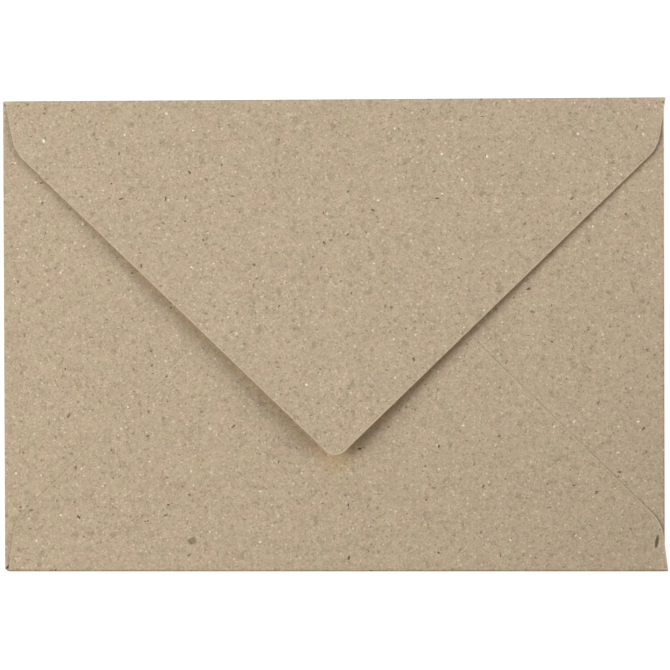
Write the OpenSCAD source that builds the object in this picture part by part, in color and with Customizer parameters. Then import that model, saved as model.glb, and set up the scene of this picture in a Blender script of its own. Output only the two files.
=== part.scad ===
// Card envelope folded from one sheet of speckled brown paper.
// It lies on its front panel with the flap side up. X runs across it, Y runs from
// the bottom fold to the top fold, and Z is up. The origin is under its middle.

/* [Finished size] */
// Width between the two side folds
envelope_w = 161; // [145:1:175]
// Height between the bottom fold and the top fold
envelope_h = 115; // [105:1:125]

/* [Paper] */
// Thickness of the paper
paper_t = 0.18; // [0.1:0.02:0.3]
// Height of the pocket while the envelope is empty
pocket_gap = 0.5; // [0.2:0.1:2]
// Depth to which the glued seams press the bottom flap into the side flaps
seam_press = 0.02; // [0.01:0.01:0.04]
// Clearance under the top flap where it leaves its fold
flap_clearance = 0.08; // [0.04:0.02:0.5]

/* [Side flaps] */
// Distance from the side fold to the point where a side flap's edges would meet
side_flap_l = 57; // [54:0.5:60]
// Distance from the top and bottom folds to the ends of a side flap
side_setback = 0.7; // [0.7:0.1:3]

/* [Top and bottom flaps] */
// Distance from the top fold to the point where the top flap's edges would meet
top_flap_l = 87.7; // [80:0.1:96]
// Distance from the bottom fold to the point where the bottom flap's edges would meet
bottom_flap_l = 88.9; // [82:0.1:96]
// Distance from the fold to the shoulder, where the short edge turns into the long one
shoulder_l = 12.3; // [9:0.1:15]
// Radius of the shoulders
shoulder_r = 9; // [3:0.5:12]
// Angle by which the short edges of the top flap lean inwards from the fold
top_taper = 9; // [4:0.5:12]
// Angle by which the short edges of the bottom flap lean inwards from the fold
bottom_taper = 7.5; // [4:0.5:12]
// Radius of the flaps' tips
tip_r = 3.5; // [1.5:0.5:8]
// How much narrower the flaps are at their folds than the envelope
flap_trim_w = 0.2; // [0:0.1:0.8]
// Distance by which the top flap sits to the right of the middle
top_flap_shift = 0.5; // [0:0.05:1]
// Distance by which the bottom flap sits to the right of the middle
bottom_flap_shift = 0.9; // [0:0.05:1]
// Angle by which the top flap was cut off square, with its tip to the right
top_flap_lean = 0.1; // [-0.5:0.1:0.5]
// Angle by which the bottom flap was cut off square, with its tip to the right
bottom_flap_lean = 0.2; // [-0.5:0.1:0.5]
// Radius of the worn corner at the left end of the bottom fold
worn_corner_r = 1; // [0.3:0.1:2]

/* [Curl of the top flap] */
// Height by which the tip of the top flap springs up
flap_rise = 3.2; // [0.5:0.1:12]
// How late the curl comes: 1 is a straight slope from the fold, 3 curls only the tip
curl_power = 1.5; // [1.2:0.1:3]

/* [Hidden] */
$fn = 96;

// Height of the underside of each flap over the table
side_flap_z = paper_t + pocket_gap;
bottom_flap_z = side_flap_z + paper_t - seam_press;
top_flap_z = bottom_flap_z + paper_t + flap_clearance;

// Outside radius of a fold whose flap comes back over the panel at the given height
function fold_r(flap_z) = (flap_z + paper_t) / 2;

// Straight pieces that the curled part of the top flap is drawn with
curl_steps = 24;
// Length by which the shapes that are cut to an outline reach past it
cut_margin = 1.5;
// Height of the shapes that cut the outlines
cut_h = top_flap_z + paper_t + flap_rise + 2 * cut_margin;

// Direction from one point to another
function toward(from, to) = (to - from) / norm(to - from);

// Half of the angle at corner b between its neighbours a and c
function half_angle(a, b, c) = acos(toward(b, a) * toward(b, c)) / 2;

// Point on the edge from corner b to its neighbour a where a round of radius r begins
function round_start(a, b, c, r) = b + toward(b, a) * r / tan(half_angle(a, b, c));

// Middle of the round of radius r at corner b
function round_middle(a, b, c, r) =
    b + toward([0, 0], toward(b, a) + toward(b, c)) * r / sin(half_angle(a, b, c));

// Convex outline. Each corner has its own radius, and a radius of 0 leaves it sharp
module rounded_outline(corners, radii) {
    last = len(corners) - 1;
    function before(i) = corners[i == 0 ? last : i - 1];
    function after(i) = corners[i == last ? 0 : i + 1];
    polygon([
        for (i = [0 : last])
            each radii[i] == 0 ? [corners[i]] : [
                round_start(before(i), corners[i], after(i), radii[i]),
                round_start(after(i), corners[i], before(i), radii[i])
            ]
    ]);
    for (i = [0 : last])
        if (radii[i] > 0)
            translate(round_middle(before(i), corners[i], after(i), radii[i]))
                circle(r = radii[i]);
}

// Triangular outline of a side flap. X is the distance from its fold
module side_flap_outline() {
    base = envelope_h / 2 - side_setback;
    wide = base * (1 + cut_margin / side_flap_l);
    rounded_outline(
        [[-cut_margin, -wide], [side_flap_l, 0], [-cut_margin, wide]],
        [0, tip_r, 0]
    );
}

// Outline of a top or bottom flap: short leaning edges, round shoulders and a round tip
module pointed_flap_outline(flap_l, taper) {
    base = (envelope_w - flap_trim_w) / 2;
    wide = base + cut_margin * tan(taper);
    narrow = base - shoulder_l * tan(taper);
    rounded_outline(
        [[-cut_margin, -wide], [shoulder_l, -narrow], [flap_l, 0], [shoulder_l, narrow], [-cut_margin, wide]],
        [0, shoulder_r, tip_r, shoulder_r, 0]
    );
}

// Height of a flap over its level at the given distance from the fold
function curl(x, from, flap_l, rise) = rise * pow((x - from) / (flap_l - from), curl_power);

// Section through a fold and its flap: a half-round bend, then the paper that comes back
module fold_section(flap_z, flap_l, rise) {
    r = fold_r(flap_z);
    reach = flap_l + cut_margin;
    intersection() {
        translate([r, r])
            difference() {
                circle(r = r);
                circle(r = r - paper_t);
            }
        square([r, 2 * r]);
    }
    if (rise == 0)
        translate([r, flap_z])
            square([reach - r, paper_t]);
    else
        polygon([
            for (side = [0, 1])
                for (i = [0 : curl_steps])
                    let (x = r + (reach - r) * (side == 0 ? i : curl_steps - i) / curl_steps)
                        [x, flap_z + curl(x, r, flap_l, rise) + side * paper_t]
        ]);
}

// One flap with its fold along the Y axis, cut to the outline given as a child
module flap(flap_z, flap_l, fold_l, rise = 0) {
    intersection() {
        rotate([90, 0, 0])
            linear_extrude(fold_l + 2 * cut_margin, center = true)
                fold_section(flap_z, flap_l, rise);
        translate([0, 0, -cut_margin])
            linear_extrude(cut_h)
                children();
    }
}

// Flat front panel between the four folds
module front_panel() {
    side = fold_r(side_flap_z);
    bottom = fold_r(bottom_flap_z);
    top = fold_r(top_flap_z);
    translate([side - envelope_w / 2, bottom - envelope_h / 2, 0])
        cube([envelope_w - 2 * side, envelope_h - bottom - top, paper_t]);
}

// Left side flap
module side_flap() {
    translate([-envelope_w / 2, 0, 0])
        flap(side_flap_z, side_flap_l, envelope_h)
            side_flap_outline();
}

// Bottom flap, glued over both side flaps
module bottom_flap() {
    translate([0, -envelope_h / 2, 0])
        rotate(90)
            flap(bottom_flap_z, bottom_flap_l, envelope_w)
                translate([0, -bottom_flap_shift])
                    rotate(-bottom_flap_lean)
                        pointed_flap_outline(bottom_flap_l, bottom_taper);
}

// Top flap, free to open, which springs up towards its tip
module top_flap() {
    translate([0, envelope_h / 2, 0])
        rotate(-90)
            flap(top_flap_z, top_flap_l, envelope_w, flap_rise)
                translate([0, top_flap_shift])
                    rotate(top_flap_lean)
                        pointed_flap_outline(top_flap_l, top_taper);
}

// What wear has taken off the corner at the left end of the bottom fold
module worn_corner() {
    translate([-envelope_w / 2, -envelope_h / 2, -cut_margin])
        linear_extrude(cut_h)
            difference() {
                translate([-cut_margin, -cut_margin])
                    square(cut_margin + worn_corner_r);
                translate([worn_corner_r, worn_corner_r])
                    circle(r = worn_corner_r);
            }
}

// The whole sheet
module envelope() {
    color([0.735, 0.665, 0.565])
        difference() {
            union() {
                front_panel();
                side_flap();
                mirror([1, 0, 0])
                    side_flap();
                bottom_flap();
                top_flap();
            }
            worn_corner();
        }
}

envelope();
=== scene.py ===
# %% [markdown]
# # A card envelope of speckled brown paper
#
# The real thing is one sheet. A blank is cut out, two side flaps are folded in, the bottom flap
# is glued over them, and the pointed top flap is folded down and left loose. This lesson makes
# it the same way: one mesh is folded with half-round bends, cut to the outlines of its flaps and
# given its thickness last. Because the mesh is flat paper that was folded, its texture can be
# laid out on the flat blank, so the speckle runs round the folds as it does in real paper.

# %% Load the frame
import math

import bmesh
import bpy
from mathutils import Matrix, Vector


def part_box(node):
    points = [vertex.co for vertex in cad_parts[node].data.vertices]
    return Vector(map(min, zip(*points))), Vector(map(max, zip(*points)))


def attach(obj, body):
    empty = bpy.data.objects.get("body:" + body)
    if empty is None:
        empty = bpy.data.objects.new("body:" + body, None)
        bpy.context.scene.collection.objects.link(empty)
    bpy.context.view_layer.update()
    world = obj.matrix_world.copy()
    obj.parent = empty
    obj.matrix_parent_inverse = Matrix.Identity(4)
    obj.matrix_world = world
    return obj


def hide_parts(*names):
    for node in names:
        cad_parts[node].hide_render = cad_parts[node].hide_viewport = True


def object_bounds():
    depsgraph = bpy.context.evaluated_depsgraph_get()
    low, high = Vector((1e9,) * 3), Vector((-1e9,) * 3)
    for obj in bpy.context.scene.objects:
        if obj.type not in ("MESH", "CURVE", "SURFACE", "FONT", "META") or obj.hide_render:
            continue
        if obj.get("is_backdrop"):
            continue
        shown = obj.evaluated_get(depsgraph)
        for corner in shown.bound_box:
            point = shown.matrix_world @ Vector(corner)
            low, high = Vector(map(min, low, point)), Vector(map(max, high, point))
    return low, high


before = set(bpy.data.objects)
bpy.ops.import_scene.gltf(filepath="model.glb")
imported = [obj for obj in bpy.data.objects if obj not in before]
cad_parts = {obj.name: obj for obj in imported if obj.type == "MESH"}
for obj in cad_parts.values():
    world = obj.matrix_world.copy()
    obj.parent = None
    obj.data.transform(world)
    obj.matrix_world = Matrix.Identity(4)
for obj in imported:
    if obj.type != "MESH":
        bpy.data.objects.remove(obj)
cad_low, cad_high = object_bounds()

print("nodes:", sorted(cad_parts))
print("box of the solid, mm:", [round(1000 * s, 2) for s in cad_high - cad_low])

# %% [markdown]
# ## Sizes
#
# Blender works in metres and paper is thin, so each size is written in millimetres times MM. The
# outline comes from the frame. The others are the paper's thickness, the levels that the flaps
# lie at and the outlines that they are cut to. They are the solid's, but for a few hundredths of
# a millimetre between the layers and at the ends of the side flaps, and for the left shoulder of
# the top flap, which is cut in half a millimetre deeper.

# %% Sizes of the sheet and its flaps
MM = 0.001
node_low, node_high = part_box("envelope")
HALF_W = -node_low.x
HALF_H = node_high.y

PAPER_T = 0.18 * MM
POCKET_GAP = 0.5 * MM
GLUE_FILM = 0.005 * MM
FLAP_CLEARANCE = 0.055 * MM

SIDE_FLAP_L = 57 * MM
SIDE_SETBACK = 0.65 * MM
TOP_FLAP_L = 87.7 * MM
BOTTOM_FLAP_L = 88.9 * MM
SHOULDER_L = 12.3 * MM
SHOULDER_R = 9 * MM
TOP_TAPER = math.radians(9)
BOTTOM_TAPER = math.radians(7.5)
TIP_R = 3.5 * MM
FLAP_TRIM_W = 0.2 * MM

# Small faults of this envelope
TOP_FLAP_SHIFT = 0.5 * MM
BOTTOM_FLAP_SHIFT = 0.9 * MM
TOP_FLAP_LEAN = math.radians(0.1)
BOTTOM_FLAP_LEAN = math.radians(0.2)
LEFT_SHOULDER_TRIM = 0.5 * MM
WORN_CORNER_R = 1 * MM

# Height of the middle of the paper in the front panel and in each flap
PANEL_Z = PAPER_T / 2
SIDE_Z = PANEL_Z + PAPER_T + POCKET_GAP
BOTTOM_Z = SIDE_Z + PAPER_T + GLUE_FILM
TOP_Z = BOTTOM_Z + PAPER_T + FLAP_CLEARANCE

print("levels of the paper, mm:", [round(z / MM, 3) for z in (PANEL_Z, SIDE_Z, BOTTOM_Z, TOP_Z)])


# %% Size of a fold
def bend_radius(flap_z):
    """Radius of the middle of the paper in a fold whose flap comes back at the height flap_z."""
    return (flap_z - PANEL_Z) / 2


def fold_reach(flap_z):
    """Distance from the outside of a fold to the line where the paper is flat again."""
    return bend_radius(flap_z) + PAPER_T / 2


print("bend radii, mm:", [round(bend_radius(z) / MM, 3) for z in (SIDE_Z, BOTTOM_Z, TOP_Z)])

# %% [markdown]
# ## Working by hand, in code
#
# Modelling by hand is: select something, then use a tool on it. A tool acts on everything that
# is selected, so each step here drops the selection first and then picks points, edges or faces
# by where they are. Loading the frame left its node selected, so objects are deselected too.
#
# Every face carries the number of the part of the sheet that it belongs to. It is kept in a
# layer of the mesh, and the faces that a cut makes inherit it.

# %% Selecting
FRONT, LEFT, RIGHT, BOTTOM, TOP = range(5)
PANEL_LAYER = "panel"
NEAR = 0.001 * MM


def pick(obj, kind, test):
    """In edit mode, selects the "VERT", "EDGE" or "FACE" elements that pass the test."""
    bpy.ops.mesh.select_mode(type=kind)
    bpy.ops.mesh.select_all(action="DESELECT")
    mesh = bmesh.from_edit_mesh(obj.data)
    elements = {"VERT": mesh.verts, "EDGE": mesh.edges, "FACE": mesh.faces}[kind]
    chosen = [element for element in elements if test(element)]
    for element in chosen:
        element.select_set(True)
    mesh.select_flush_mode()
    bmesh.update_edit_mesh(obj.data)
    return len(chosen)


def pick_panels(obj, *panels):
    """In edit mode, selects the faces of the named parts of the sheet."""
    layer = bmesh.from_edit_mesh(obj.data).faces.layers.int[PANEL_LAYER]
    return pick(obj, "FACE", lambda face: face[layer] in panels)


# %% [markdown]
# ## The front panel
#
# The front panel is the address side, and it lies on the table. A plane is its natural start. It
# ends a little inside the envelope's outline, where the bends begin.

# %% Front panel
panel_left = -HALF_W + fold_reach(SIDE_Z)
panel_bottom = -HALF_H + fold_reach(BOTTOM_Z)
panel_top = HALF_H - fold_reach(TOP_Z)

bpy.ops.object.select_all(action="DESELECT")
bpy.ops.mesh.primitive_plane_add(size=1, location=(0, (panel_bottom + panel_top) / 2, PANEL_Z))
sheet = bpy.context.object
sheet.name = "envelope_sheet"
sheet.data.name = "envelope_sheet"
sheet.scale = (-2 * panel_left, panel_top - panel_bottom, 1)
bpy.ops.object.transform_apply(location=True, rotation=False, scale=True)
sheet.data.attributes.new(PANEL_LAYER, "INT", "FACE")
bpy.ops.object.mode_set(mode="EDIT")
print("front panel, mm:", [round(size / MM, 2) for size in sheet.dimensions])

# %% [markdown]
# ## Folding the flaps
#
# A crease is a tight half-round bend. The spin tool makes one from the panel's edge: it turns
# the edge by half a turn about a line above it. The last edge is then extruded back over the
# panel as a plain strip, a little wider and longer than the flap. Bending a flat strip with a
# modifier would also do, but the spin gives exact radii, and the flaps have to lie on each other
# with a few hundredths of a millimetre between them.

# %% Fold a strip back over the panel
BEND_STEPS = 10
CUT_MARGIN = 1 * MM


def fold_strip(panel, inward, edge_at, flap_z, flap_l, overhang=0):
    """Folds a strip of the length flap_l over the panel. inward points across the crease, and
    edge_at is the place of the panel's edge that way. overhang makes the strip wider."""
    inward = Vector(inward)
    along = inward.cross(Vector((0, 0, 1)))
    radius = bend_radius(flap_z)
    pick(sheet, "EDGE", lambda edge: all(
        abs(v.co.dot(inward) - edge_at) < NEAR and abs(v.co.z - PANEL_Z) < NEAR
        for v in edge.verts))
    bpy.ops.mesh.spin(steps=BEND_STEPS, angle=math.pi, axis=along,
                      center=inward * edge_at + Vector((0, 0, PANEL_Z + radius)))
    reach = flap_l - fold_reach(flap_z) + CUT_MARGIN
    bpy.ops.mesh.extrude_region_move(TRANSFORM_OT_translate={"value": inward * reach})

    mesh = bmesh.from_edit_mesh(sheet.data)
    layer = mesh.faces.layers.int[PANEL_LAYER]
    fresh = [face for face in mesh.faces
             if face[layer] == FRONT and face.calc_center_median().z > PANEL_Z + NEAR]
    for face in fresh:
        face[layer] = panel
    if overhang:
        for side in (-1, 1):
            pick(sheet, "VERT", lambda v: v.co.dot(along) * side > 0 and v.co.z > PANEL_Z + NEAR
                 and v.link_faces[0][layer] == panel)
            bpy.ops.transform.translate(value=along * side * overhang)
    print("flap", panel, "has", len(fresh), "faces")


FLAP_OVERHANG = 1.6 * MM
fold_strip(LEFT, (1, 0, 0), panel_left, SIDE_Z, SIDE_FLAP_L)
fold_strip(RIGHT, (-1, 0, 0), panel_left, SIDE_Z, SIDE_FLAP_L)
fold_strip(BOTTOM, (0, 1, 0), panel_bottom, BOTTOM_Z, BOTTOM_FLAP_L, FLAP_OVERHANG)
fold_strip(TOP, (0, -1, 0), -panel_top, TOP_Z, TOP_FLAP_L, FLAP_OVERHANG)

# %% [markdown]
# ## Cutting the outlines
#
# A die cuts the real blank. Here the bisect tool is the blade: it cuts the selected faces along
# an upright plane and clears what lies outside. The outlines are convex, so one straight cut for
# each edge is enough, and a round corner is a fan of small cuts that all touch the same circle.
# A bevel on the corner point would round it too, but its curve is a true arc only at a right
# angle, and these corners are blunter.

# %% Cut a flap to its outline
ROUND_STEP = math.radians(7)
CUT_THRESHOLD = 0.0001 * MM


def cut(obj, panels, point, normal):
    """Cuts the named parts along the upright plane through point and clears what is outside."""
    pick_panels(obj, *panels)
    bpy.ops.mesh.bisect(plane_co=(point.x, point.y, 0), plane_no=(normal.x, normal.y, 0),
                        threshold=CUT_THRESHOLD)
    mesh = bmesh.from_edit_mesh(obj.data)
    layer = mesh.faces.layers.int[PANEL_LAYER]
    outside = pick(obj, "FACE", lambda face: face[layer] in panels
                   and (face.calc_center_median().xy - point).dot(normal) > 0)
    if outside:
        bpy.ops.mesh.delete(type="FACE")


def cut_outline(obj, panel, corners, radii):
    """Cuts a flap along the line through its corners, which are rounded with the radii given."""
    middle = sum(corners, Vector((0, 0))) / len(corners)
    normals = []
    for here, there in zip(corners, corners[1:]):
        normal = (there - here).orthogonal().normalized()
        if normal.dot(here - middle) < 0:
            normal.negate()
        normals.append(normal)
        cut(obj, [panel], here, normal)
    for corner, radius, before, after in zip(corners[1:-1], radii, normals, normals[1:]):
        angle = before.angle_signed(after)
        centre = corner - (before + after).normalized() * radius / math.cos(angle / 2)
        steps = math.ceil(abs(angle) / ROUND_STEP)
        for step in range(1, steps):
            normal = before.slerp(after, step / steps)
            cut(obj, [panel], centre + normal * radius, normal)


def place(panel, inward, along, lean=0, shift=0):
    """A point of a flap, from its distance inward from the fold and its place along the fold."""
    fold = {LEFT: Vector((-HALF_W, 0)), RIGHT: Vector((HALF_W, 0)),
            BOTTOM: Vector((0, -HALF_H)), TOP: Vector((0, HALF_H))}[panel]
    across = -fold.normalized()
    beside = Vector((abs(across.y), abs(across.x)))
    leaning = (inward * math.cos(lean) - along * math.sin(lean),
               inward * math.sin(lean) + along * math.cos(lean))
    return fold + across * leaning[0] + beside * (leaning[1] + shift)


# %% Cut the four flaps
def side_outline(panel):
    """Corners of a side flap's outline, from one end of its fold to the other."""
    base = HALF_H - SIDE_SETBACK
    return [place(panel, 0, -base), place(panel, SIDE_FLAP_L, 0), place(panel, 0, base)]


def pointed_outline(panel, flap_l, taper, shift, lean, trim):
    """Corners of the top or bottom flap's outline: short leaning edges, shoulders and a point.
    trim is how much deeper the left shoulder is cut."""
    base = HALF_W - FLAP_TRIM_W / 2
    narrow = base - SHOULDER_L * math.tan(taper)
    flat = [(0, -base), (SHOULDER_L, trim - narrow), (flap_l, 0), (SHOULDER_L, narrow), (0, base)]
    return [place(panel, inward, along, lean, shift) for inward, along in flat]


for panel in (LEFT, RIGHT):
    cut_outline(sheet, panel, side_outline(panel), [TIP_R])
POINTED_RADII = [SHOULDER_R, TIP_R, SHOULDER_R]
for panel, flap_l, taper, shift, lean, trim in (
        (BOTTOM, BOTTOM_FLAP_L, BOTTOM_TAPER, BOTTOM_FLAP_SHIFT, BOTTOM_FLAP_LEAN, 0),
        (TOP, TOP_FLAP_L, TOP_TAPER, TOP_FLAP_SHIFT, TOP_FLAP_LEAN, LEFT_SHOULDER_TRIM)):
    outline = pointed_outline(panel, flap_l, taper, shift, lean, trim)
    cut_outline(sheet, panel, outline, POINTED_RADII)
print("faces after the cuts:", len(bmesh.from_edit_mesh(sheet.data).faces))

# %% [markdown]
# ## The left corners
#
# Two folds leave a small gap where they meet, and the front panel ends where the bends begin, so
# the table would show through. On the right the top and bottom flaps cover the gap. On the left
# the panel's free edges are extruded to the outline: first those along the top or bottom, then
# those along the side. The new point beside the end of the left fold is slid along the outline to
# meet it. Then the corner at the left end of the bottom fold is cut round through all its layers,
# because there the real one is worn.

# %% Fill the corners beside the left fold
EAR_REACH = 2 * MM
FOLD_END_SLIDE = (HALF_H - SIDE_SETBACK) * fold_reach(SIDE_Z) / SIDE_FLAP_L


def extrude_free_edges(x_range, y_range, move):
    """Extrudes those free edges of the front panel that lie in a range of x and y."""
    found = pick(sheet, "EDGE", lambda edge: edge.is_boundary and all(
        min(x_range) - NEAR < v.co.x < max(x_range) + NEAR
        and min(y_range) - NEAR < v.co.y < max(y_range) + NEAR
        and abs(v.co.z - PANEL_Z) < NEAR for v in edge.verts))
    bpy.ops.mesh.extrude_region_move(TRANSFORM_OT_translate={"value": move})
    print("free edges extruded:", found)


for edge_y, outer_y in ((panel_top, HALF_H), (panel_bottom, -HALF_H)):
    way = math.copysign(1, edge_y)
    extrude_free_edges((panel_left, panel_left + EAR_REACH), (edge_y, edge_y),
                       (0, outer_y - edge_y, 0))
    extrude_free_edges((panel_left, panel_left), (edge_y - way * EAR_REACH, outer_y),
                       (-HALF_W - panel_left, 0, 0))
    found = pick(sheet, "VERT", lambda v: abs(v.co.x + HALF_W) < NEAR
                 and 0 < v.co.y * way < abs(edge_y) - NEAR)
    bpy.ops.transform.translate(value=(0, way * FOLD_END_SLIDE, 0))
    print("points slid:", found)

# %% Cut the worn corner round
WORN_CORNER_STEPS = 6
corner_middle = Vector((-HALF_W + WORN_CORNER_R, -HALF_H + WORN_CORNER_R))
for step in range(1, WORN_CORNER_STEPS):
    angle = math.pi + math.pi / 2 * step / WORN_CORNER_STEPS
    normal = Vector((math.cos(angle), math.sin(angle)))
    cut(sheet, [FRONT, LEFT, BOTTOM], corner_middle + normal * WORN_CORNER_R, normal)

mesh = bmesh.from_edit_mesh(sheet.data)
layer = mesh.faces.layers.int[PANEL_LAYER]
for panel, name in ((LEFT, "left"), (RIGHT, "right"), (BOTTOM, "bottom"), (TOP, "top")):
    spots = [v.co for face in mesh.faces if face[layer] == panel for v in face.verts]
    across, up = ([round(end(spot[axis] for spot in spots) / MM, 2) for end in (min, max)]
                  for axis in (0, 1))
    print(name, "flap, mm: x", across, "y", up)

# %% [markdown]
# ## A grid for soft shapes
#
# So far each flap is one large face. Paper is never dead flat, and the top flap springs up, so
# the faces need points to move. Loop cuts would be the usual way, but they need a window. The
# bisect tool again makes a plain grid over everything at once. Before that, a narrow rim is inset
# along each flap: the cut edge of real paper is bruised and fuzzy, and the rim will carry that,
# together with a painted highlight, the thin bright line that the cut edge catches from the lamps.

# %% Rims and grid
RIM_W = 0.45 * MM
GRID = 3 * MM
LARGE = 100 * MM * MM

mesh = bmesh.from_edit_mesh(sheet.data)
layer = mesh.faces.layers.int[PANEL_LAYER]
pick(sheet, "FACE", lambda face: face[layer] != FRONT and face.calc_area() > LARGE)
bpy.ops.mesh.inset(thickness=RIM_W, use_boundary=True, use_even_offset=True, use_individual=True)

for low, high, normal in ((panel_left, -panel_left, Vector((1, 0, 0))),
                          (panel_bottom, panel_top, Vector((0, 1, 0)))):
    count = round((high - low) / GRID)
    for step in range(1, count):
        bpy.ops.mesh.select_all(action="SELECT")
        spot = low + (high - low) * step / count
        bpy.ops.mesh.bisect(plane_co=normal * spot, plane_no=normal, threshold=CUT_THRESHOLD)
bpy.ops.object.mode_set(mode="OBJECT")
print("sheet has", len(sheet.data.polygons), "faces")

# %% [markdown]
# ## Laying the texture out on the flat blank
#
# A pattern on Object coordinates would print the same specks on every layer of the folded paper.
# Here each corner of each face remembers where it was on the blank, in millimetres: along a bend
# that is the length of the arc, and on a flap it is the way back from the bend. This is what
# unwrapping would give, but exact and without seams.

# %% Place on the blank
BLANK_UV = "blank"
FLAPS = {
    LEFT: (Vector((-1, 0, 0)), -panel_left, SIDE_Z),
    RIGHT: (Vector((1, 0, 0)), -panel_left, SIDE_Z),
    BOTTOM: (Vector((0, -1, 0)), -panel_bottom, BOTTOM_Z),
    TOP: (Vector((0, 1, 0)), panel_top, TOP_Z),
}


def past_bend(panel, spot):
    """Length of a flap's paper from its bend to the spot; negative in the bend."""
    outward, edge_at, flap_z = FLAPS[panel]
    return edge_at - spot.dot(outward) if spot.z > flap_z - NEAR else -1


def blank_place(panel, spot):
    """Where a point of the folded sheet lies on the flat blank."""
    if panel == FRONT:
        return spot.xy
    outward, edge_at, flap_z = FLAPS[panel]
    radius = bend_radius(flap_z)
    past = past_bend(panel, spot)
    if past >= -NEAR:
        length = math.pi * radius + past
    else:
        length = radius * math.acos(max(-1, min(1, (PANEL_Z + radius - spot.z) / radius)))
    return (spot + outward * (edge_at + length - spot.dot(outward))).xy


panels = [item.value for item in sheet.data.attributes[PANEL_LAYER].data]
uv_layer = sheet.data.uv_layers.new(name=BLANK_UV)
for face in sheet.data.polygons:
    for loop in face.loop_indices:
        spot = sheet.data.vertices[sheet.data.loops[loop].vertex_index].co
        uv_layer.data[loop].uv = blank_place(panels[face.index], spot) / MM
reach = [uv_layer.data[i].uv for i in range(len(uv_layer.data))]
print("blank, mm:", round(max(r.x for r in reach) - min(r.x for r in reach), 1), "by",
      round(max(r.y for r in reach) - min(r.y for r in reach), 1))

# %% [markdown]
# ## Rim, curl and slack
#
# Three values are painted on the points, as by hand in weight paint mode. cut_edge is 1 along
# the cut outlines and fades over the rim. curl is how far a point springs up, as a share of
# CURL_RISE. On the top flap it grows slowly at first and then faster, because the fold holds the
# paper down. It starts sooner along the left edge than along the right one, which springs up a
# little just behind the fold instead. The glue of the bottom flap ends a little inside its edges,
# so these stand up by a hair near the shoulders: that draws the dark lines that the photograph
# shows there. slack is 0 along the folds, which keep the paper straight, and 1 where it is free
# to swell.

# %% Curl of a point
CURL_RISE = 3.2 * MM
CURL_POWER = 1.55
CURL_TWIST = 0.42
SPRING = 0.08
SPRING_REACH = 14 * MM

# Lift of the bottom flap's edges at the side folds, and how fast it fades towards the middle
SEAM_LIFT_LEFT, SEAM_FADE_LEFT = 0.26 * MM, 7
SEAM_LIFT_RIGHT, SEAM_FADE_RIGHT = 0.2 * MM, 10
# Share of that lift on the inner line of the rim
SEAM_LIFT_INSIDE = 0.5


def top_curl(across, past):
    """Curl of a point of the top flap. past is the length of paper from the bend to the point."""
    open_length = TOP_FLAP_L - fold_reach(TOP_Z)
    half_width = HALF_W * (1 - past / open_length)
    side = max(-1, min(1, (across - TOP_FLAP_SHIFT) / max(half_width, TIP_R)))
    spring = SPRING * max(side, 0) * past / SPRING_REACH * math.exp(1 - past / SPRING_REACH)
    return (past / open_length) ** (CURL_POWER + CURL_TWIST * side) + spring


def seam_curl(across, on_edge):
    """Curl of a point on the cut edge of the bottom flap, or else on the inner line of its rim."""
    if across < 0:
        lift = SEAM_LIFT_LEFT * (-across / HALF_W) ** SEAM_FADE_LEFT
    else:
        lift = SEAM_LIFT_RIGHT * (across / HALF_W) ** SEAM_FADE_RIGHT
    return lift * (1 if on_edge else SEAM_LIFT_INSIDE) / CURL_RISE


print("curl half way down the middle:", round(top_curl(TOP_FLAP_SHIFT, TOP_FLAP_L / 2), 3))

# %% Paint the points
# Distances from the outline
SLACK_START = 2 * MM
SLACK_FULL = 20 * MM

mesh = bmesh.new()
mesh.from_mesh(sheet.data)
edge_points = {v.index for v in mesh.verts if v.is_boundary}
mesh.free()
rim_points = {index for face in sheet.data.polygons if edge_points.intersection(face.vertices)
              for index in face.vertices} - edge_points
point_panel = [FRONT] * len(sheet.data.vertices)
for face in sheet.data.polygons:
    for index in face.vertices:
        point_panel[index] = max(point_panel[index], panels[face.index])

# cut_edge marks the band that the paper material paints paler along each cut outline: partly the
# torn fibres' own tone, partly a painted highlight of the edge's bright line
cut_edge = sheet.data.attributes.new("cut_edge", "FLOAT", "POINT")
for point in sheet.data.vertices:
    cut_edge.data[point.index].value = float(point.index in edge_points)
curl = sheet.vertex_groups.new(name="curl")
slack = sheet.vertex_groups.new(name="slack")
for point in sheet.data.vertices:
    panel = point_panel[point.index]
    if panel == FRONT or past_bend(panel, point.co) <= 0:
        continue
    on_edge = point.index in edge_points
    if panel == TOP:
        curl.add([point.index], top_curl(point.co.x, past_bend(panel, point.co)), "REPLACE")
    elif panel == BOTTOM and (on_edge or point.index in rim_points):
        curl.add([point.index], seam_curl(point.co.x, on_edge), "REPLACE")
    inside = min(HALF_W - abs(point.co.x), HALF_H - abs(point.co.y))
    ease = max(0, min(1, (inside - SLACK_START) / (SLACK_FULL - SLACK_START)))
    slack.add([point.index], ease * ease * (3 - 2 * ease), "REPLACE")
print("points on a cut edge:", len(edge_points), "and on the rim's inner line:", len(rim_points))

# %% [markdown]
# ## Giving the paper its shape and thickness
#
# Displace moves points by their weights, so the curl is one modifier and the slack another, with
# a soft cloud for its pattern. The glued flaps and the one above them read the same cloud at the
# same place, so they swell together and never cut through each other. Solidify comes last and
# turns the middle surface into paper of an even thickness, whose rim gets its own material.

# %% Displace, solidify, apply
SWELL = 0.2 * MM
SWELL_SIZE = 30 * MM
SMOOTH_ANGLE = math.radians(40)
MATERIAL_NAMES = ("speckled_paper", "cut_paper_edge")


def apply_modifiers(obj):
    """Makes obj the one selected object and applies its modifiers in order."""
    bpy.ops.object.select_all(action="DESELECT")
    obj.select_set(True)
    bpy.context.view_layer.objects.active = obj
    for name in [modifier.name for modifier in obj.modifiers]:
        bpy.ops.object.modifier_apply(modifier=name)


rise = sheet.modifiers.new("curl", "DISPLACE")
rise.direction = "Z"
rise.vertex_group = "curl"
rise.mid_level = 0
rise.strength = CURL_RISE

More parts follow.
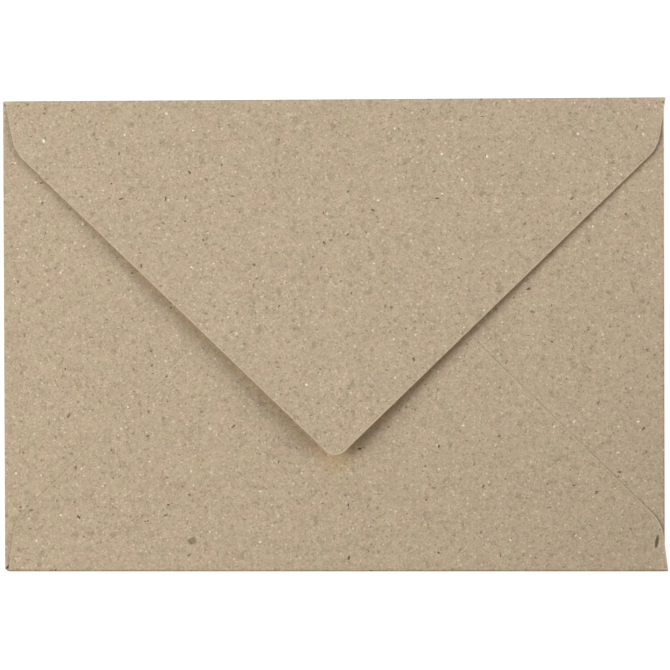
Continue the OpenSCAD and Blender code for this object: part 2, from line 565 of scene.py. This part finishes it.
cloud = bpy.data.textures.new("swelling", "CLOUDS")
cloud.noise_scale = SWELL_SIZE
cloud.noise_depth = 1
swell = sheet.modifiers.new("swell", "DISPLACE")
swell.direction = "Z"
swell.vertex_group = "slack"
swell.texture = cloud
swell.texture_coords = "LOCAL"
swell.mid_level = 0.5
swell.strength = SWELL

for name in MATERIAL_NAMES:
    sheet.data.materials.append(bpy.data.materials.new(name))
thicken = sheet.modifiers.new("thickness", "SOLIDIFY")
thicken.thickness = PAPER_T
thicken.offset = 0
thicken.use_even_offset = True
thicken.material_offset_rim = MATERIAL_NAMES.index("cut_paper_edge")
apply_modifiers(sheet)
bpy.ops.object.shade_smooth_by_angle(angle=SMOOTH_ANGLE)
sheet.vertex_groups.clear()

low, high = ([end(point.co[axis] for point in sheet.data.vertices) / MM for axis in range(3)]
             for end in (min, max))
print("sheet, mm:", [round(b - a, 2) for a, b in zip(low, high)], "lowest", round(low[2], 3))
print("triangles:", sum(len(face.vertices) - 2 for face in sheet.data.polygons))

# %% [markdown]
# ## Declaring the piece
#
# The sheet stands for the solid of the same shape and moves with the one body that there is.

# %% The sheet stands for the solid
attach(sheet, "root")
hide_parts("envelope")
print(sheet.name, "stands for the envelope")

# %% [markdown]
# ## Materials from nodes
#
# Nodes are wired in a window as a rule. In code, a few small helpers keep the wiring readable.
# add_node adds a node and plugs in its inputs: an input that is another node's output is linked,
# and anything else is set as its value. The others add the nodes that are used most often.

# %% Node helpers
def empty_tree(owner):
    """Turns on the nodes of a material or world and returns its tree, empty."""
    owner.use_nodes = True
    owner.node_tree.nodes.clear()
    return owner.node_tree


def add_node(tree, kind, inputs=None, **settings):
    """Adds a node. inputs gives a value or another node's output for sockets by name or number."""
    node = tree.nodes.new(kind)
    for name, value in settings.items():
        setattr(node, name, value)
    for socket, value in (inputs or {}).items():
        if isinstance(value, bpy.types.NodeSocket):
            tree.links.new(value, node.inputs[socket])
        else:
            node.inputs[socket].default_value = value
    return node


def calculate(tree, operation, *values, clamp=False):
    """Adds a Math node and returns its output."""
    node = add_node(tree, "ShaderNodeMath", dict(enumerate(values)), operation=operation)
    node.use_clamp = clamp
    return node.outputs[0]


def combine(tree, operation, first, second):
    """Adds a Vector Math node for two vectors and returns its output."""
    node = add_node(tree, "ShaderNodeVectorMath", {0: first, 1: second}, operation=operation)
    return node.outputs[0]


def turn(tree, spot, angle, centre=(0, 0, 0)):
    """Adds a node that turns a spot on the blank about a centre and returns its output."""
    node = add_node(tree, "ShaderNodeVectorRotate",
                    {"Vector": spot, "Angle": angle, "Center": centre}, rotation_type="Z_AXIS")
    return node.outputs[0]


def centred_noise(tree, spot, scale, detail, roughness):
    """Adds noise on the blank and returns its value less a half, which is about 0 on average."""
    noise = add_node(tree, "ShaderNodeTexNoise",
                     {"Vector": spot, "Scale": scale, "Detail": detail, "Roughness": roughness},
                     noise_dimensions="2D")
    return calculate(tree, "SUBTRACT", noise.outputs["Fac"], 0.5)


# %% Group helpers
VALUE, COLOUR, VECTOR = "NodeSocketFloat", "NodeSocketColor", "NodeSocketVector"


def start_group(name, inputs, outputs):
    """Starts a node group and returns its tree, its input node and its output node."""
    tree = bpy.data.node_groups.new(name, "ShaderNodeTree")
    for label, kind, default in inputs:
        socket = tree.interface.new_socket(name=label, in_out="INPUT", socket_type=kind)
        if default is not None:
            socket.default_value = default
    for label, kind in outputs:
        tree.interface.new_socket(name=label, in_out="OUTPUT", socket_type=kind)
    return tree, tree.nodes.new("NodeGroupInput"), tree.nodes.new("NodeGroupOutput")


def use_group(tree, group, inputs):
    """Places a node group in a material or in another group, with its own values."""
    return add_node(tree, "ShaderNodeGroup", inputs, node_tree=group)


# %% [markdown]
# ## The pulp
#
# Recycled paper is a felt of old fibres that lie every way. The felt group draws them as noise
# that is stretched in four directions. Its sum is multiplied by its own size, so most of the
# paper stays quiet while single fibres stand out. The pulp group adds soft clumps, wide clouds
# and a tint that wanders between pinkish and greenish. Every pattern reads the place on the blank
# in millimetres, so a noise scale is simply one over the size of what it draws.

# %% Group: felt
FIBRE_LAYERS = 4
FIRST_LIE = 0.3
# Each layer is turned about a centre of its own, so no two show the same part of the noise
LAYER_CENTRE = (17, 9)
LAYER_STEP = 40
FELT_DETAIL, FELT_ROUGHNESS = 1, 0.6
EVEN_SHARE = 0.15
SPARSE_SHARE = 2.2


def make_felt():
    """Tone of fibres that lie every way, about 0 on average. Width and Length are in mm."""
    tree, given, result = start_group(
        "paper_felt", [("Place", VECTOR, None), ("Width", VALUE, 0.25), ("Length", VALUE, 1)],
        [("Tone", VALUE)])
    scale = add_node(tree, "ShaderNodeCombineXYZ", {
        0: calculate(tree, "DIVIDE", 1.0, given.outputs["Length"]),
        1: calculate(tree, "DIVIDE", 1.0, given.outputs["Width"])})
    total = 0.0
    for number in range(FIBRE_LAYERS):
        lie = math.pi * (number + FIRST_LIE) / FIBRE_LAYERS
        centre = (LAYER_STEP * number + LAYER_CENTRE[0], LAYER_CENTRE[1], 0)
        stretched = combine(tree, "MULTIPLY", turn(tree, given.outputs["Place"], lie, centre),
                            scale.outputs[0])
        fibres = centred_noise(tree, stretched, 1.0, FELT_DETAIL, FELT_ROUGHNESS)
        total = calculate(tree, "ADD", total, fibres)
    sparse = calculate(tree, "MULTIPLY_ADD", calculate(tree, "ABSOLUTE", total), SPARSE_SHARE,
                       EVEN_SHARE)
    tree.links.new(calculate(tree, "MULTIPLY", total, sparse), result.inputs["Tone"])
    return tree


FELT = make_felt()
print("group", FELT.name, "has", len(FELT.nodes), "nodes")

# %% Group: pulp
# Input of the group, width and length of its fibres
FELTS = (("Fine", 0.2, 0.6), ("Coarse", 0.4, 1.4))
# Input of the group, size, detail and offset of its noise
PATCHES = (("Clumps", 1.7, 1, 37), ("Clouds", 7, 2, 59))
PATCH_ROUGHNESS = 0.6
TINT_SIZE, TINT_DETAIL, TINT_ROUGHNESS = 5, 2, 0.5


def make_pulp():
    """Tone and tint of the paper's felt. All sizes are in millimetres."""
    tree, given, result = start_group(
        "paper_pulp",
        [("Place", VECTOR, None), ("Colour", COLOUR, (0.5, 0.4, 0.3, 1)), ("Fine", VALUE, 0.3),
         ("Coarse", VALUE, 0.3), ("Clumps", VALUE, 0.1), ("Clouds", VALUE, 0.05),
         ("Tint", VALUE, 0.05)],
        [("Colour", COLOUR), ("Tone", VALUE)])
    place_on_blank = given.outputs["Place"]
    tone = 1.0
    for label, width, length in FELTS:
        felt = use_group(tree, FELT, {"Place": place_on_blank, "Width": width, "Length": length})
        tone = calculate(tree, "MULTIPLY_ADD", felt.outputs["Tone"], given.outputs[label], tone)
    for label, size, detail, offset in PATCHES:
        shifted = combine(tree, "ADD", place_on_blank, (offset, offset, 0))
        patches = centred_noise(tree, shifted, 1 / size, detail, PATCH_ROUGHNESS)
        tone = calculate(tree, "MULTIPLY_ADD", patches, given.outputs[label], tone)
    wander = centred_noise(tree, place_on_blank, 1 / TINT_SIZE, TINT_DETAIL, TINT_ROUGHNESS)
    tint = calculate(tree, "MULTIPLY", wander, given.outputs["Tint"])
    parts = add_node(tree, "ShaderNodeSeparateColor", {"Color": given.outputs["Colour"]})
    warm = calculate(tree, "MULTIPLY", tone, calculate(tree, "ADD", 1.0, tint))
    cool = calculate(tree, "MULTIPLY", tone, calculate(tree, "SUBTRACT", 1.0, tint))
    joined = add_node(tree, "ShaderNodeCombineColor", {
        number: calculate(tree, "MULTIPLY", parts.outputs[number], share)
        for number, share in enumerate((warm, cool, warm))})
    tree.links.new(joined.outputs[0], result.inputs["Colour"])
    tree.links.new(tone, result.inputs["Tone"])
    return tree


PULP = make_pulp()
print("group", PULP.name, "has", len(PULP.nodes), "nodes")

# %% [markdown]
# ## Flecks and fibres
#
# Bits of bark, ink and bleached fibre lie in the pulp. A Voronoi texture is a good sower: it
# gives each cell one random point and a random colour. The colour decides whether the point
# carries a fleck, how bold and how large it is and which way it lies. Most flecks lie half
# covered by the pulp and are faint. Round specks and long fibres are then the same group with
# different values.

# %% Shape of a fleck
FLECK_END = 0.6


def ellipse(tree, away, lie, length, width, full):
    """1 within the share full of a fleck's length and width, and 0 past FLECK_END of them. away
    is the way from the fleck's middle, and lie the angle that it is turned back by."""
    parts = add_node(tree, "ShaderNodeSeparateXYZ", {0: turn(tree, away, lie)})
    along = calculate(tree, "DIVIDE", parts.outputs[0], length)
    across = calculate(tree, "DIVIDE", parts.outputs[1], width)
    squares = calculate(tree, "ADD", calculate(tree, "MULTIPLY", along, along),
                        calculate(tree, "MULTIPLY", across, across))
    soft = add_node(tree, "ShaderNodeMapRange",
                    {"Value": calculate(tree, "SQRT", squares), "From Min": FLECK_END,
                     "From Max": full}, interpolation_type="SMOOTHSTEP")
    return soft.outputs["Result"]


# %% Group: flecks
FRAY_SIZE = 0.9
FRAY_DETAIL = 1
FAINTNESS = 1.3
SIZE_LEAST, SIZE_SPREAD = 0.45, 0.9
SOWN_FULL = 0.36


def make_flecks():
    """Scattered flecks as a mask. Spacing, Length and Width are in millimetres."""
    tree, given, result = start_group(
        "paper_flecks",
        [("Place", VECTOR, None), ("Seed", VALUE, 0), ("Spacing", VALUE, 3), ("Share", VALUE, 0.5),
         ("Length", VALUE, 0.5), ("Width", VALUE, 0.3), ("Fray", VALUE, 0.2)],
        [("Mask", VALUE)])
    seed = add_node(tree, "ShaderNodeCombineXYZ",
                    {0: given.outputs["Seed"], 1: given.outputs["Seed"]})
    shifted = combine(tree, "ADD", given.outputs["Place"], seed.outputs[0])
    fray = add_node(tree, "ShaderNodeTexNoise",
                    {"Vector": shifted, "Scale": 1 / FRAY_SIZE, "Detail": FRAY_DETAIL},
                    noise_dimensions="2D")
    push = combine(tree, "SUBTRACT", fray.outputs["Color"], (0.5, 0.5, 0.5))
    pushed = add_node(tree, "ShaderNodeVectorMath", {0: push, "Scale": given.outputs["Fray"]},
                      operation="SCALE")
    frayed = combine(tree, "ADD", shifted, pushed.outputs[0])
    density = calculate(tree, "DIVIDE", 1.0, given.outputs["Spacing"])
    sown = add_node(tree, "ShaderNodeTexVoronoi", {"Vector": frayed, "Scale": density},
                    voronoi_dimensions="2D", feature="F1")
    chance = add_node(tree, "ShaderNodeSeparateColor", {"Color": sown.outputs["Color"]})
    here = calculate(tree, "LESS_THAN", chance.outputs[0], given.outputs["Share"])
    rank = calculate(tree, "DIVIDE", chance.outputs[0], given.outputs["Share"])
    bold = calculate(tree, "MULTIPLY", calculate(tree, "POWER", rank, FAINTNESS), here)
    size = calculate(tree, "MULTIPLY_ADD", chance.outputs[1], SIZE_SPREAD, SIZE_LEAST)
    disc = ellipse(tree, combine(tree, "SUBTRACT", frayed, sown.outputs["Position"]),
                   calculate(tree, "MULTIPLY", chance.outputs[2], 2 * math.pi),
                   calculate(tree, "MULTIPLY", size, given.outputs["Length"]),
                   calculate(tree, "MULTIPLY", size, given.outputs["Width"]), SOWN_FULL)
    tree.links.new(calculate(tree, "MULTIPLY", disc, bold), result.inputs["Mask"])
    return tree


FLECKS = make_flecks()
print("group", FLECKS.name, "has", len(FLECKS.nodes), "nodes")

# %% [markdown]
# ## The flecks that one notices
#
# Sixteen flecks on this envelope are bold enough to be remembered. They are placed one by one,
# each as an ellipse with its own length, width and lie. Their places are millimetres from the
# middle of the envelope as one looks at its flap side, on the flap that carries them.

# %% Group: one fleck
NOTED_FULL = 0.38


def make_one_fleck():
    """One elongated fleck as a mask. Spot, Length and Width are in millimetres."""
    tree, given, result = start_group(
        "one_fleck",
        [("Place", VECTOR, None), ("Spot", VECTOR, None), ("Lie", VALUE, 0),
         ("Length", VALUE, 1), ("Width", VALUE, 0.4), ("Depth", VALUE, 1)],
        [("Mask", VALUE)])
    away = combine(tree, "SUBTRACT", given.outputs["Place"], given.outputs["Spot"])
    disc = ellipse(tree, away, given.outputs["Lie"], given.outputs["Length"],
                   given.outputs["Width"], NOTED_FULL)
    tree.links.new(calculate(tree, "MULTIPLY", disc, given.outputs["Depth"]),
                   result.inputs["Mask"])
    return tree


ONE_FLECK = make_one_fleck()
print("group", ONE_FLECK.name, "has", len(ONE_FLECK.nodes), "nodes")


# %% Flecks placed one by one
def on_blank(panel, across, up):
    """Where a point seen on the flap side of the folded envelope lies on the flat blank, in mm."""
    flap_z = FLAPS[panel][2]
    return blank_place(panel, Vector((across * MM, up * MM, flap_z))) / MM


DARK_FLECK = (0.13, 0.09, 0.05, 1)
PALE_FLECK = (0.88, 0.82, 0.7, 1)

# Flap, millimetres right and up from the middle, length, width, lie in degrees, depth, colour
NOTED_FLECKS = [
    (BOTTOM, 78.55, -50.2, 3.3, 0.85, 80, 1.0, DARK_FLECK),
    (BOTTOM, -34.5, -50.0, 2.1, 1.7, 0, 0.62, DARK_FLECK),
    (LEFT, -64.7, -19.45, 1.3, 0.55, 60, 0.8, DARK_FLECK),
    (BOTTOM, -45.2, -24.4, 1.0, 0.55, 25, 0.8, DARK_FLECK),
    (BOTTOM, -35.1, -38.75, 0.8, 0.65, 0, 0.7, DARK_FLECK),
    (BOTTOM, 6.5, -27.6, 1.0, 0.6, 0, 1.0, DARK_FLECK),
    (LEFT, -65.4, -7.95, 0.6, 0.45, 90, 1.0, DARK_FLECK),
    (BOTTOM, 40.4, -24.5, 1.2, 0.4, 25, 0.7, DARK_FLECK),
    (RIGHT, 69.8, -5.4, 1.3, 0.5, 60, 0.5, DARK_FLECK),
    (TOP, -70.2, 54.4, 0.6, 0.55, 0, 0.8, DARK_FLECK),
    (TOP, -46.5, 17.1, 1.2, 0.5, 90, 0.9, DARK_FLECK),
    (TOP, 9.9, 30.45, 1.0, 0.5, -25, 1.0, DARK_FLECK),
    (TOP, 60.1, 29.5, 0.7, 0.55, 90, 0.75, DARK_FLECK),
    (RIGHT, 72.8, 11.8, 3.6, 0.45, -75, 0.35, DARK_FLECK),
    (TOP, 11.2, 32.85, 0.8, 0.45, 0, 0.9, PALE_FLECK),
    (TOP, -70.4, 47.7, 1.0, 0.7, 90, 1.0, PALE_FLECK),
]
print(len(NOTED_FLECKS), "flecks placed by hand")

# %% [markdown]
# ## The paper
#
# The pulp is coloured first, then the flecks are laid over it: dark specks, pale specks, fibres
# both dark and pale, and the listed flecks. Where the paper is cut its fibres are torn open, so it
# is a little paler along the rim, and the pale band there is also a painted highlight: the thin
# bright line that the cut edge catches from the lamps. Height for the bump comes from the tone of
# the pulp, because on real paper what one sees is also what one feels.

# %% What the paper is made of
PAPER_COLOUR = (0.5, 0.402, 0.279, 1)
# Pale colour of the cut edge, also used for the painted highlight along the rim
CUT_AND_HIGHLIGHT_COLOUR = (0.6, 0.5, 0.37, 1)
PULP_SHARES = {"Fine": 0.29, "Coarse": 0.27, "Clumps": 0.26, "Clouds": 0.15, "Tint": 0.07}

# Seed, spacing, share, length, width, fray, colour, strength
SOWINGS = [
    (3, 1.8, 0.8, 0.6, 0.34, 0.5, DARK_FLECK, 0.5),
    (11, 4.5, 0.5, 0.5, 0.38, 0.2, DARK_FLECK, 0.9),
    (71, 5.5, 0.6, 0.9, 0.42, 0.4, DARK_FLECK, 1.0),
    (57, 4.5, 0.8, 1.7, 1.1, 1.2, DARK_FLECK, 0.25),
    (23, 1.7, 0.8, 0.48, 0.36, 0.3, PALE_FLECK, 0.5),
    (131, 5.5, 0.7, 0.55, 0.4, 0.3, PALE_FLECK, 1.0),
    (43, 3.0, 0.8, 2.4, 0.3, 2.0, DARK_FLECK, 0.25),
    (97, 3.0, 0.8, 2.2, 0.3, 2.0, PALE_FLECK, 0.25),
]
NOTED_STRENGTH = 0.9
print(len(SOWINGS), "kinds of fleck are sown")

# %% Paper material
# How far the rim band is painted paler: partly torn fibres, partly painted highlight
RIM_PALE_AND_HIGHLIGHT_SHARE = 0.7
TORN_EDGE_SHARE = 0.6
BUMP_STRENGTH = 0.35
BUMP_DEPTH = 0.03 * MM
ROUGHNESS = 0.95
ROUGHNESS_BY_TONE = -0.1
SPECULAR = 0.1


def lay_over(tree, under, over, mask, strength):
    """Mixes a colour over another where the mask is."""
    share = calculate(tree, "MULTIPLY", mask, strength)
    return add_node(tree, "ShaderNodeMix", {0: share, 6: under, 7: over},
                    data_type="RGBA").outputs[2]


def sow_flecks(tree, place_on_blank, colour):
    """Lays all kinds of scattered flecks over a colour."""
    for seed, spacing, share, length, width, fray, tone, strength in SOWINGS:
        flecks = use_group(tree, FLECKS, {
            "Place": place_on_blank, "Seed": seed, "Spacing": spacing, "Share": share,
            "Length": length, "Width": width, "Fray": fray})
        colour = lay_over(tree, colour, tone, flecks.outputs["Mask"], strength)
    return colour


def lay_noted_flecks(tree, place_on_blank, colour):
    """Lays the listed flecks over a colour."""
    for tone in (DARK_FLECK, PALE_FLECK):
        noted = 0.0
        for panel, across, up, length, width, lie, depth, own_tone in NOTED_FLECKS:
            if own_tone == tone:
                fleck = use_group(tree, ONE_FLECK, {
                    "Place": place_on_blank, "Spot": (*on_blank(panel, across, up), 0),
                    "Lie": math.radians(lie), "Length": length, "Width": width, "Depth": depth})
                noted = calculate(tree, "MAXIMUM", noted, fleck.outputs["Mask"])
        colour = lay_over(tree, colour, tone, noted, NOTED_STRENGTH)
    return colour


def make_paper(material, cut_share):
    """Fills a material with speckled paper. cut_share is how far it shows torn fibres all over."""
    tree = empty_tree(material)
    place_on_blank = add_node(tree, "ShaderNodeUVMap", uv_map=BLANK_UV).outputs[0]
    pulp = use_group(tree, PULP, {"Place": place_on_blank, "Colour": PAPER_COLOUR, **PULP_SHARES})
    tone = pulp.outputs["Tone"]
    colour = sow_flecks(tree, place_on_blank, pulp.outputs["Colour"])
    colour = lay_noted_flecks(tree, place_on_blank, colour)
    # Pale band along the cut outlines: the torn fibres' own tone plus a painted highlight of the
    # edge's bright line
    torn = add_node(tree, "ShaderNodeAttribute", attribute_name="cut_edge",
                    attribute_type="GEOMETRY")
    pale_and_highlight_share = calculate(tree, "MULTIPLY_ADD", torn.outputs["Fac"], RIM_PALE_AND_HIGHLIGHT_SHARE, cut_share,
                           clamp=True)
    colour = lay_over(tree, colour, CUT_AND_HIGHLIGHT_COLOUR, pale_and_highlight_share, 1.0)

    bump = add_node(tree, "ShaderNodeBump", {"Strength": BUMP_STRENGTH, "Distance": BUMP_DEPTH,
                                             "Height": tone})
    roughness = calculate(tree, "MULTIPLY_ADD", tone, ROUGHNESS_BY_TONE, ROUGHNESS)
    shader = add_node(tree, "ShaderNodeBsdfPrincipled", {
        "Base Color": colour, "Roughness": roughness, "Normal": bump.outputs[0],
        "Specular IOR Level": SPECULAR})
    add_node(tree, "ShaderNodeOutputMaterial", {0: shader.outputs[0]})
    return len(tree.nodes)


face_material, edge_material = sheet.data.materials
print("paper has", make_paper(face_material, 0.0), "nodes")
print("its cut edge has", make_paper(edge_material, TORN_EDGE_SHARE), "nodes")

# %% [markdown]
# ## Floor and background
#
# The envelope lies on a plain white ground. The floor is grey and also glows, but for the camera
# only: that lifts it to white without putting any more light on the envelope, and it still takes
# the envelope's shadow. The world is white for the camera too. On everything else it casts a
# faint warm light, like the light that the warm paper throws into its own shadows.

# %% Floor and world
FLOOR_SIZE = 6.0
FLOOR_DROP = 0.02 * MM
FLOOR_GLOW = 0.85
FLOOR_COLOUR = (0.3, 0.3, 0.3, 1)
WHITE = (1, 1, 1, 1)
AMBIENT = 0.05
WARM_BOUNCE = (1.0, 0.5, 0.15, 1)


def camera_share(tree):
    """1 for what the camera sees directly, mirrored or through glass, and 0 otherwise."""
    path = add_node(tree, "ShaderNodeLightPath")
    return calculate(tree, "MAXIMUM", path.outputs["Is Camera Ray"],
                     calculate(tree, "MAXIMUM", path.outputs["Is Glossy Ray"],
                               path.outputs["Is Transmission Ray"]))


bpy.ops.object.select_all(action="DESELECT")
bpy.ops.mesh.primitive_plane_add(size=FLOOR_SIZE, location=(0, 0, -FLOOR_DROP))
floor = bpy.context.object
floor.name = "pale_floor"
pale = bpy.data.materials.new("pale_floor")
tree = empty_tree(pale)
matt = add_node(tree, "ShaderNodeBsdfDiffuse", {"Color": FLOOR_COLOUR})
glow = add_node(tree, "ShaderNodeEmission", {
    "Color": WHITE, "Strength": calculate(tree, "MULTIPLY", camera_share(tree), FLOOR_GLOW)})
both = add_node(tree, "ShaderNodeAddShader", {0: matt.outputs[0], 1: glow.outputs[0]})
add_node(tree, "ShaderNodeOutputMaterial", {0: both.outputs[0]})
floor.data.materials.append(pale)
floor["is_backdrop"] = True

world = bpy.data.worlds.new("studio")
bpy.context.scene.world = world
tree = empty_tree(world)
seen = camera_share(tree)
strength = add_node(tree, "ShaderNodeMapRange", {"Value": seen, "To Min": AMBIENT, "To Max": 1.0})
shade = add_node(tree, "ShaderNodeMix", {0: seen, 6: WARM_BOUNCE, 7: WHITE}, data_type="RGBA")
sky = add_node(tree, "ShaderNodeBackground", {"Color": shade.outputs[2],
                                              "Strength": strength.outputs["Result"]})
add_node(tree, "ShaderNodeOutputWorld", {0: sky.outputs[0]})
print("floor", FLOOR_SIZE, "m wide, ambient light", AMBIENT)

# %% [markdown]
# ## Three lamps
#
# In the photograph the top flap throws a shadow along both of its long edges and a faint one
# below its tip. So two large soft lamps stand low on the left and on the right. The left one
# gives more of the light and stands higher, so the shadow on the right is the darker and the
# narrower one. A third, weaker lamp stands behind the top fold and doesn't reach either shadow.
# It is bluish and the other two are yellowish, so together they are white, and the shadows are
# as warm as in the photograph. Each lamp is described by its direction, its distance, its size,
# its colour and the share of the light that it gives; the power follows from these.

# %% Lamps
WARM_LAMP = (1.016, 0.937, 0.834)
COOL_LAMP = (0.6, 0.95, 1.4)


def add_lamp(name, azimuth, elevation, distance, width, height, colour, share):
    """A lamp that gives level white paper the brightness share at the origin. azimuth is counted
    from +X towards +Y, and both angles are in degrees."""
    azimuth, elevation = math.radians(azimuth), math.radians(elevation)
    toward = Vector((math.cos(azimuth) * math.cos(elevation),
                     math.sin(azimuth) * math.cos(elevation), math.sin(elevation)))
    light = bpy.data.lights.new(name, "AREA")
    light.shape = "RECTANGLE"
    light.size = width
    light.size_y = height
    light.color = colour
    light.energy = share * (math.pi * distance) ** 2 / math.sin(elevation)
    lamp = bpy.data.objects.new(name, light)
    lamp.location = toward * distance
    lamp.rotation_euler = toward.to_track_quat("Z", "Y").to_euler()
    lamp.visible_camera = False
    bpy.context.scene.collection.objects.link(lamp)
    print(name, round(light.energy, 2), "W")


add_lamp("left_lamp", 177, 35.5, 1.2, 1.1, 0.74, WARM_LAMP, 0.625)
add_lamp("right_lamp", 3, 23, 1.6, 1.25, 0.57, WARM_LAMP, 0.31)
add_lamp("top_lamp", 90, 38, 2.0, 1.55, 1.25, COOL_LAMP, 0.22)

# %% [markdown]
# ## A black card
#
# In the photograph the lower right corner is a little darker than the rest. So a black card
# stands on the right, outside the picture. Its top edge slopes, so that it holds back a part of
# the right lamp from that corner and hardly any from the middle. The camera doesn't see it.

# %% Card
CARD_H = 200 * MM
CARD_L = 400 * MM
CARD_EDGE_MIDDLE = (220 * MM, -40 * MM, 63 * MM)
CARD_SLOPE = math.radians(-18.4)
CARD_COLOUR = (0.02, 0.02, 0.02, 1)

bpy.ops.object.select_all(action="DESELECT")
bpy.ops.mesh.primitive_plane_add(size=1)
card = bpy.context.object
card.name = "black_card"
card.matrix_world = (Matrix.Translation(CARD_EDGE_MIDDLE) @ Matrix.Rotation(CARD_SLOPE, 4, "X")
                     @ Matrix.Rotation(math.pi / 2, 4, "Y") @ Matrix.Translation((CARD_H / 2, 0, 0))
                     @ Matrix.Diagonal((CARD_H, CARD_L, 1, 1)))
card.visible_camera = False
black = bpy.data.materials.new("black_card")
tree = empty_tree(black)
matt = add_node(tree, "ShaderNodeBsdfDiffuse", {"Color": CARD_COLOUR})
add_node(tree, "ShaderNodeOutputMaterial", {0: matt.outputs[0]})
card.data.materials.append(black)
card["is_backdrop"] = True
bpy.context.view_layer.update()
corners = [card.matrix_world @ point.co for point in card.data.vertices]
print("card corners, mm:", [[round(value / MM) for value in corner] for corner in corners])

# %% [markdown]
# ## Camera
#
# The photograph looks almost straight down. The camera's place, turn and lens were worked out
# from where the envelope's four corners are in the picture, for a picture of 670 by 670 pixels.

# %% Camera
CAMERA_PLACE = (19.8 * MM, 5.2 * MM, 600 * MM)
CAMERA_TURN = (-0.49, 1.837, -0.195)
CAMERA_LENS = 132.25
SENSOR_W = 36
CLIP_START, CLIP_END = 0.01, 20

bpy.ops.object.camera_add(location=CAMERA_PLACE, rotation=[math.radians(a) for a in CAMERA_TURN])
camera = bpy.context.object
camera.name = "camera"
camera.data.sensor_width = SENSOR_W
camera.data.lens = CAMERA_LENS
camera.data.clip_start = CLIP_START
camera.data.clip_end = CLIP_END
scene = bpy.context.scene
scene.camera = camera
scene.view_settings.view_transform = "Standard"
print("camera at, mm:", [round(value / MM, 1) for value in camera.location])

# %% Growth of the box, and finish
seen_low, seen_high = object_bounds()
growth = [after - before for before, after in zip((*cad_low, *cad_high), (*seen_low, *seen_high))]
print("growth, mm:", [round(value / MM, 3) for value in growth])
